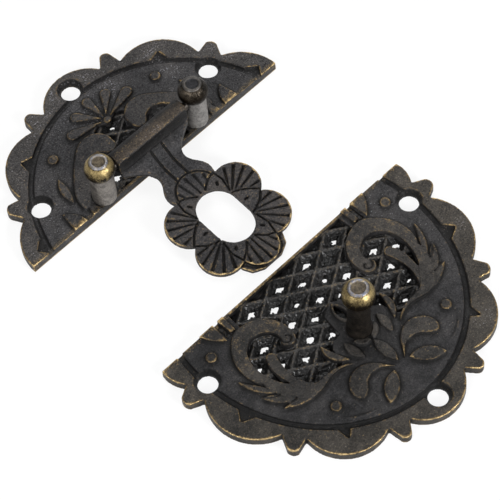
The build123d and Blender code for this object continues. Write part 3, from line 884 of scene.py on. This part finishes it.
@dataclass
class PlatePiece(CastPiece):
    """A filigree plate, whose border outside the oval channel is browner and more worn.

    Its sizes are in millimetres.

    Attributes:
        away: 1 if the plate lies on the Y side of its straight edge, -1 if on the other.
        oval: The channel's half widths along X and Y.
        side_hole: How far out, and how far from the edge, the side screw holes lie.
        end_hole: How far from the edge the end screw hole lies.
        posts: The nodes of the posts that stand on it.
        brown: How brown its ornament and its border are.
        grain_and_light: How coarse its grain is, with more pale specks, and its tone shifted as
            painted light.
        grain_and_light_patch: Middle and reach of a place with coarser grain and a tone lifted as
            painted light.
        shade: How near the posts their painted shadow starts and ends to fade.
        curl: The groove in the curled ends of its scrolls, if it has scrolls.
        pits: The rough ground between the ribs of the lattice.
        flash: The ragged metal left in the openings.
    """

    grain: float = 0.12 * MM
    softness: int = 2
    away: int = 1
    oval: tuple[float, float] = (1.0, 1.0)
    side_hole: Point = (0.0, 0.0)
    end_hole: float = 0.0
    posts: tuple[str, ...] = ()
    brown: tuple[float, float] = (0.55, 1.0)
    grain_and_light: float = -0.5
    grain_and_light_patch: tuple[float, float, float] = (0.0, 0.0, 1.0)
    shade: Ramp = (2.8, 5.0)
    curl: Spiral | None = None
    pits: Lumps = Lumps(0.45 * MM, 0.13 * MM)
    flash: Lumps = Lumps(0.7 * MM, 0.6 * MM, middle=0.08, level=0.85)

    @property
    def edge(self) -> float:
        """Where the straight edge lies along Y."""
        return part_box(self.node)[0 if self.away > 0 else 1].y / MM

    @property
    def holes(self) -> list[Point]:
        """The middles of the three screw holes."""
        out, along = self.side_hole
        places = ((-out, along), (out, along), (0.0, self.end_hole))
        return [(x, self.edge + self.away * y) for x, y in places]

    def reach_of(self, points: np.ndarray) -> np.ndarray:
        """How far out each point lies, where 1 is the channel.

        Args:
            points: The piece's points.

        Returns:
            Each point's reach.
        """
        x, y = points[:, 0] / MM, points[:, 1] / MM
        return np.hypot(x / self.oval[0], (y - self.edge + CHANNEL_DROP) / self.oval[1])

    def lattice(self, points: np.ndarray) -> np.ndarray:
        """Finds the sunk lattice, clear of edge, posts and screw holes.

        Args:
            points: The piece's points.

        Returns:
            Which points lie in it.
        """
        height = height_of(points)
        feet = [middle_of(post) for post in self.posts]
        inside = self.reach_of(points) < INSIDE
        inside &= np.abs(points[:, 1] / MM - self.edge) > EDGE_BAND
        inside &= distance(points, feet + self.holes) > CLEARING
        return inside & (height > BACK) & (height < LATTICE[0])

    def groove(self, points: np.ndarray) -> np.ndarray:
        """Finds the spiral grooves of the scrolls' curled ends.

        Args:
            points: The piece's points.

        Returns:
            How deep in a groove each point lies, 0 to 1.
        """
        if self.curl is None:
            return np.zeros(len(points))
        x = np.abs(points[:, 0]) / MM - self.curl.x
        y = points[:, 1] / MM - self.curl.y
        turned = np.mod(np.radians(self.curl.start) - np.arctan2(y, x), 2 * np.pi)
        radius = self.curl.radius - self.curl.tighten * turned
        near = bell(np.hypot(x, y), radius, self.curl.width)
        return near * (turned < np.radians(self.curl.sweep)) * (height_of(points) > CURL)

    def rough_cast(self) -> None:
        """Rounds the rims, roughens faces and lattice, leaves flash and curls the scrolls."""
        super().rough_cast()
        points = points_of(self.obj.data)
        height = height_of(points)
        level = normals_of(self.obj.data)[:, 2]
        inside = self.lattice(points)
        rim = (self.reach_of(points) > OUTSIDE) & (height > RIM) & (self.painted("wear") > 0.3)
        opening = inside & (height < OPENING) & (level > -0.15) & (level < 0.75)
        group = self.gather("rim", rim)
        apply(self.obj, "rub", "SMOOTH", factor=0.5, iterations=8, vertex_group=group)
        self.roughen("pits", inside & (level > 0.1), self.pits)
        self.roughen("flash", opening, self.flash)
        if self.curl is not None:
            self.sink(self.groove(points), self.curl.depth * MM)

    def mark(self, points: np.ndarray) -> None:
        """Paints border, ornament, lattice, screw holes' mouths and the posts' painted shadow.

        Args:
            points: The piece's points.
        """
        mesh = self.obj.data
        height, reach = height_of(points), self.reach_of(points)
        level = normals_of(mesh)[:, 2]
        inward = np.abs(points[:, 1] / MM - self.edge)
        border, raised = step(reach, *BORDER), step(height, *ORNAMENT)
        rib = step(height, *RIB) * fade(height, *RIB_TOP) * step(level, 0.6, 0.9)
        rib *= fade(reach, *RIB_END)
        rail = fade(inward, 0.6, 0.75) * step(height, 0.9, 1.05) * (level > 0.3)
        brink = fade(inward, 0.2, 1.4) * step(height, 1.2, 1.4)

        tint = np.maximum(self.brown[0] * raised, self.brown[1] * border)
        paint(mesh, "tint", np.maximum(tint, np.maximum(0.6 * rib, rail)))
        paint(mesh, "lacquer", 0.3 * self.lattice(points))
        scuff_and_highlight = 0.1 * raised + 0.08 * border + 0.22 * rib + 0.2 * rail + 0.18 * brink
        paint(mesh, "scuff_and_highlight", scuff_and_highlight)
        # Coarser grain, and a tone shifted as painted light: lifted in a patch and on the border.
        patch = bell(distance(points, [self.grain_and_light_patch[:2]]), 0.0, self.grain_and_light_patch[2])
        paint(mesh, "grain_and_light", self.grain_and_light + 0.55 * patch + 0.35 * border)

        sunk = 0.95 * (level > 0.12) * fade(height, *LATTICE) * (1.0 - 0.85 * rib)
        mouth = fade(distance(points, self.holes), 2.15, 2.25) * fade(height, *MOUTH)
        clear = distance(points, [middle_of(post) for post in self.posts])
        # Darker toward the bottom of the border's outer walls, and a painted shadow of the posts
        # round their feet.
        foot = 0.35 * border * fade(height, 0.3, 1.1)
        foot += 0.75 * fade(clear, *self.shade) * fade(height, *ORNAMENT)
        self.reinforce("patina_and_shade", 1.5)
        self.raise_to("patina_and_shade", np.max([sunk, mouth, foot, self.groove(points)], axis=0))
        # A thin line along the channel is kept lighter, as a painted highlight.
        glint = bell(reach, 1.0, 0.006) * fade(height, 1.3, 1.35)
        self.reinforce("patina_and_shade", (1.0 - 0.85 * rail) * (1.0 - 0.6 * glint))
        rubbed = (1.0 + 0.9 * border + 0.7 * brink) * (1.0 - 0.5 * bell(reach, 1.0, 0.045))
        # Less wear shows inside the posts' painted shadow.
        self.reinforce("wear", rubbed * (0.35 + 0.65 * step(clear, *self.shade)))


@dataclass
class ArmPiece(CastPiece):
    """The hasp, rubbed brown along the top of its barrel and on its petals.

    Its sizes are in millimetres.

    Attributes:
        flower: The flower's middle along Y.
        neck: Where along Y the flower gives way to the neck.
        flute: How deep the flutes of the petals are cut.
        rim: How far from the flower's middle the rims of the petals start and end to shine.
        skin: How far from the pin's axis the barrel's skin starts and ends.
        front: The turn round the pin, in degrees, at which the barrel's brown top starts.
        rear: The turn at which it ends.
        shadow: The turn over which the top is painted darker to the rear, as painted shade.
        ridge: Middle and width of the ridge, painted lighter as a highlight, in degrees.
        end: Middle and width of the worn place near the barrel's end, along X.
        cove: The heights over which the cove below the ridge is painted darker, as painted shade.
        cove_turn: The turn at which that painted shade ends.
    """

    grain: float = 0.10 * MM
    softness: int = 2
    depth: Ramp = (0.01, 0.12)
    # The darkening spreads far from the recesses, which paints shade on the sloping sides of the
    # petals' flutes.
    smudge: tuple[int, float] = (8, 2.3)
    flower: float = 4.42
    neck: Ramp = (10.0, 10.5)
    flute: float = 0.21
    rim: Ramp = (7.8, 9.0)
    skin: Ramp = (1.95, 2.1)
    front: Ramp = (44.0, 52.0)
    rear: Ramp = (95.0, 125.0)
    shadow: Ramp = (62.0, 112.0)
    ridge: tuple[float, float] = (49.0, 6.0)
    end: tuple[float, float] = (-7.2, 1.3)
    cove: Ramp = (5.3, 6.9)
    cove_turn: Ramp = (42.0, 46.0)

    def rough_cast(self) -> None:
        """Makes the faces uneven, and gives the petals' flutes their slanted sides."""
        super().rough_cast()
        points, facing = points_of(self.obj.data), normals_of(self.obj.data)[:, 2]
        petals = (points[:, 1] < self.neck[1] * MM) & (facing > 0.2)
        self.sink(self.painted("patina_and_shade") * petals, self.flute * MM)

    def mark(self, points: np.ndarray) -> None:
        """Paints barrel, web and flower, with painted shade and highlight on the barrel.

        Args:
            points: The piece's points.
        """
        mesh = self.obj.data
        x, y, height = points[:, 0] / MM, points[:, 1] / MM, height_of(points)
        low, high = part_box("hinge_pin")
        forward = (low.y + high.y) / 2 / MM - y
        rise = height - (low.z + high.z) / 2 / MM
        turn = np.degrees(np.arctan2(rise, forward))
        barrel = fade(np.hypot(forward, rise), *self.skin) * (rise > 0.2)
        brown = barrel * step(turn, *self.front) * fade(turn, *self.rear)
        ridge, end = barrel * bell(turn, *self.ridge), brown * bell(x, *self.end)
        # Painted shade in the cove below the ridge.
        cove = 0.95 * step(height, *self.cove) * fade(turn, *self.cove_turn) * (forward > 0)
        # Painted shade on the barrel's top toward the rear.
        back = 0.7 * barrel * step(turn, *self.shadow)
        flower = fade(y, *self.neck)
        rim = step(distance(points, [(0.0, self.flower)]), *self.rim)
        paint(mesh, "tint", np.maximum(brown, 0.12 * flower))
        # Rubbed metal on the brown top, near the end and on the flower, and a painted highlight
        # along the ridge.
        paint(mesh, "scuff_and_highlight", 0.13 * brown + 0.24 * ridge + 0.14 * end + 0.17 * flower)
        # Coarser grain, and a tone shifted as painted light, lightest on the barrel's top.
        paint(mesh, "grain_and_light", 0.45 + 0.35 * brown + 0.05 * flower)
        paint(mesh, "lacquer", 0.12 * flower * self.painted("patina_and_shade"))
        self.reinforce("patina_and_shade", 1.5 - 1.3 * barrel)
        self.raise_to("patina_and_shade", np.maximum(cove, back))
        self.reinforce("wear", 1.0 - 0.35 * flower + 1.1 * flower * rim)


@dataclass
class PostPiece(CastPiece):
    """A turned post with a knob and a ring round a sunk disc.

    Attributes:
        flank: Where below the top the knob's painted shade starts and ends, in knob widths.
        neck: How far below the ring's foot the knob ends, as such shares too.
        ring: The ring's outer radius as such a share.
        lip: How high the ring stands on the knob, in millimetres.
        face: How far below the top the ring's face ends, in millimetres.
        collar: How far below the top the painted shade round the ring's foot ends, in millimetres.
        band: How wide the ring is, in millimetres.
        blur: How far ring and disc fade, in millimetres.
    """

    grain: float = 0.09 * MM
    marks: tuple[str, ...] = ("wear", "patina_and_shade", "knob", "ring", "disc", "painted_shade")
    flank: Ramp = (0.1, 0.36)
    neck: Ramp = (0.56, 0.62)
    ring: float = 0.3
    lip: float = 0.25
    face: Ramp = (0.35, 0.45)
    collar: Ramp = (0.5, 0.6)
    band: float = 0.5
    blur: float = 0.1

    def mark(self, points: np.ndarray) -> None:
        """Paints knob, ring and disc, and the painted shade on the knob.

        Args:
            points: The piece's points.
        """
        mesh, height = self.obj.data, height_of(points)
        reach = distance(points, [middle_of(self.node)])
        low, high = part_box(self.node)
        bulb = max(high.x - low.x, high.y - low.y) / MM
        ring = self.ring * bulb
        below = high.z / MM - height
        knob = fade((below - self.lip) / bulb, *self.neck)
        upper = fade(below, *self.face)
        # Painted shade on the knob's lower flank, and a dark line of painted shade round the ring's
        # foot.
        painted_shade = step(below / bulb, *self.flank)
        collar = bell(reach, ring + 0.08, 0.12) * fade(below, *self.collar)
        paint(mesh, "knob", knob)
        paint(mesh, "painted_shade", np.maximum(1.15 * painted_shade, 0.8 * collar) * knob)
        paint(mesh, "ring", upper * fade(reach, ring, ring + self.blur))
        paint(mesh, "disc", upper * fade(reach, ring - self.band, ring - self.band + self.blur))


@dataclass
class Studio:
    """Pale floor, soft lamps and the camera.

    Attributes:
        azimuth: Where the camera stands round the object, in degrees.
        elevation: How steeply it looks down.
        roll: How far it leans.
        distance: Its distance from the target.
        target: What it looks at.
        lens: Its focal length in millimetres.
        paper: How pale the floor is.
        glow: How much of the floor is plain white to the camera.
        floor_mirror: How much of that the metal reflects.
        room: The strength of the even light.
        room_mirror: How much of the pale room the metal reflects.
        lamps: Name, place, side and power in watts of each lamp.
    """

    azimuth: float = -40.118
    elevation: float = 58.410
    roll: float = -5.652
    distance: float = 0.34167
    target: tuple[float, float, float] = (-0.837 * MM, -1.600 * MM, 0.0)
    lens: float = 157.9
    paper: float = 0.86
    glow: float = 0.85
    floor_mirror: float = 0.5
    room: float = 0.12
    room_mirror: float = 0.3
    lamps: tuple[tuple[str, tuple[float, float, float], float, float], ...] = (
        ("left", (-0.42, -0.07, 0.34), 0.16, 1.8),
        ("front", (0.05, -0.46, 0.24), 0.16, 2.8),
        ("above", (0.10, 0.12, 0.60), 0.30, 1.4),
        ("back", (0.48, 0.36, 0.28), 0.30, 1.6),
    )

    def axes(self) -> tuple[Vector, Vector, Vector]:
        """The camera's right, up and back.

        Returns:
            Three unit vectors.
        """
        turn, rise, lean = (math.radians(a) for a in (self.azimuth, self.elevation, self.roll))
        back = Vector(
            (math.sin(turn) * math.cos(rise), -math.cos(turn) * math.cos(rise), math.sin(rise))
        )
        right = Vector((math.cos(turn), math.sin(turn), 0.0))
        up = back.cross(right)
        return (
            math.cos(lean) * right + math.sin(lean) * up,
            -math.sin(lean) * right + math.cos(lean) * up,
            back,
        )

    def camera(self) -> None:
        """Sets the camera where the photographer stood."""
        right, up, back = self.axes()
        data = bpy.data.cameras.new("camera")
        data.lens = self.lens
        data.sensor_width = 36.0
        data.clip_start = 0.01
        data.clip_end = 20.0
        camera = bpy.data.objects.new("camera", data)
        bpy.context.scene.collection.objects.link(camera)
        turn = Matrix((right, up, back)).transposed().to_4x4()
        camera.matrix_world = Matrix.Translation(Vector(self.target) + self.distance * back) @ turn
        bpy.context.scene.camera = camera

    def lamp(self, name: str, place: tuple[float, float, float], size: float, power: float) -> None:
        """Adds one square lamp that faces the object.

        Args:
            name: The lamp's name.
            place: Where it hangs.
            size: Its side.
            power: Its power in watts.
        """
        data = bpy.data.lights.new(name, "AREA")
        data.shape = "SQUARE"
        data.size = size
        data.energy = power
        lamp = bpy.data.objects.new(name, data)
        bpy.context.scene.collection.objects.link(lamp)
        lamp.location = place
        lamp.rotation_euler = Vector(place).to_track_quat("Z", "Y").to_euler()

    def floor(self) -> None:
        """Lays the pale floor, which takes the object's shadow."""
        bpy.ops.mesh.primitive_plane_add(size=4.0, location=(0.0, 0.0, -FLOOR_GAP))
        floor = bpy.context.active_object
        floor.name = "floor"
        sheet = Sheet(bpy.data.materials.new("paper_white"))
        pale = (self.paper, self.paper, self.paper, 1.0)
        paper = sheet.node("ShaderNodeBsdfDiffuse", None, {"Color": pale})
        glow = sheet.node("ShaderNodeEmission", None, {"Color": (1, 1, 1, 1), "Strength": 1.0})
        sockets = {0: sheet.background(self.floor_mirror) * self.glow, 1: paper, 2: glow}
        floor.data.materials.append(sheet.finish(sheet.node("ShaderNodeMixShader", None, sockets)))

    def world(self) -> None:
        """Fills the room with even light, pale to the camera and in the metal."""
        sheet = Sheet(bpy.data.worlds.new("room"))
        light = {"Color": (1.0, 0.99, 0.98, 1.0), "Strength": self.room}
        room = sheet.node("ShaderNodeBackground", None, light)
        pale = sheet.node("ShaderNodeBackground")
        sockets = {0: sheet.background(self.room_mirror), 1: room, 2: pale}
        bpy.context.scene.world = sheet.finish(sheet.node("ShaderNodeMixShader", None, sockets))

    def build(self) -> None:
        """Sets up everything around the object."""
        self.floor()
        self.world()
        for name, place, size, power in self.lamps:
            self.lamp(name, place, size, power)
        self.camera()
        bpy.context.scene.view_settings.view_transform = "Standard"


def finishes() -> dict[str, bpy.types.Material]:
    """Makes the materials.

    Returns:
        The material of each node.
    """
    antique = CastFinish(
        Metal.DARK_BRONZE.value,
        ground=(rgb(9, 9, 10), rgb(66, 65, 67)),
        raised=(rgb(17, 16, 14), rgb(78, 73, 67)),
        patina_and_shade=(rgb(3, 3, 3), rgb(28, 27, 27)),
        worn=rgb(106, 90, 65),
        painted_highlight=rgb(168, 146, 106),
        pale_speck=rgb(128, 129, 136),
    )
    rubbed = replace(antique, name="rubbed_bronze", raised=(rgb(12, 10, 8), rgb(76, 67, 58)))
    grey = PostFinish(
        Metal.WORN_POST.value,
        stem=(rgb(88, 84, 81), rgb(136, 131, 125)),
        knob=(rgb(168, 149, 104), rgb(62, 51, 33)),
        ring=rgb(120, 121, 128),
        disc=(rgb(52, 46, 38), rgb(100, 90, 74)),
        shade_tone=rgb(26, 20, 13),
    )
    dull = replace(
        grey,
        name="tarnished_post",
        stem=(rgb(98, 96, 94), rgb(142, 139, 136)),
        knob=(rgb(78, 71, 62), rgb(18, 17, 16)),
        ring=rgb(82, 80, 78),
        disc=(rgb(24, 24, 26), rgb(52, 52, 55)),
        blotches=1.2,
    )
    dark = replace(
        grey,
        name=Metal.DARK_POST.value,
        stem=(rgb(16, 14, 12), rgb(38, 33, 28)),
        ring=rgb(112, 114, 124),
        stem_metal=0.4,
    )
    steel = Sheet(bpy.data.materials.new(Metal.PIN_STEEL.value))
    shine = {"Base Color": rgb(66, 62, 58), "Metallic": 1.0, "Roughness": 0.42}
    bronze = antique.build()
    return {
        "catch_plate": bronze,
        "hinge_plate": bronze,
        "hasp_arm": rubbed.build(),
        "catch_post": dark.build(),
        "hinge_post_left": grey.build(),
        "hinge_post_right": dull.build(),
        "hinge_pin": steel.finish(steel.node("ShaderNodeBsdfPrincipled", None, shine)),
    }


def castings() -> list[CastPiece]:
    """Lists the pieces that replace their solids.

    Returns:
        The pieces, in the order in which they are made.
    """
    return [
        PlatePiece(
            "catch_plate",
            "catch_side",
            Metal.DARK_BRONZE,
            away=-1,
            oval=(22.6, 25.1),
            side_hole=(22.1, 6.15),
            end_hole=32.6,
            posts=("catch_post",),
            shade=(3.4, 7.0),
            grain_and_light_patch=(22.0, -18.0, 24.0),
            curl=Spiral(8.75, -17.6),
        ),
        PlatePiece(
            "hinge_plate",
            "hinge_side",
            Metal.DARK_BRONZE,
            away=1,
            oval=(23.6, 25.1),
            side_hole=(18.5, 7.55),
            end_hole=20.85,
            posts=("hinge_post_left", "hinge_post_right"),
            brown=(0.2, 0.3),
            grain_and_light=0.45,
            grain_and_light_patch=(-2.0, 36.5, 8.0),
        ),
        ArmPiece("hasp_arm", "hasp", Metal.DARK_BRONZE),
        PostPiece("catch_post", "catch_side", Metal.DARK_POST),
        PostPiece("hinge_post_left", "hinge_side", Metal.WORN_POST),
        PostPiece("hinge_post_right", "hinge_side", Metal.WORN_POST),
    ]


def main() -> None:
    """Builds the object piece by piece."""
    logging.basicConfig(level=logging.INFO, format="%(name)s %(message)s")
    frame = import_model()
    finish = finishes()
    for piece in castings():
        made = piece.build(finish[piece.node], frame["nodes"][piece.node])
        LOG.info("%s: %d faces", made.name, len(made.data.polygons))
    pin = frame["nodes"]["hinge_pin"]
    pin.data.materials.clear()
    pin.data.materials.append(finish["hinge_pin"])
    LOG.info("%s: %d faces, the solid itself", pin.name, len(pin.data.polygons))
    Studio().build()


if __name__ == "__main__":
    main()
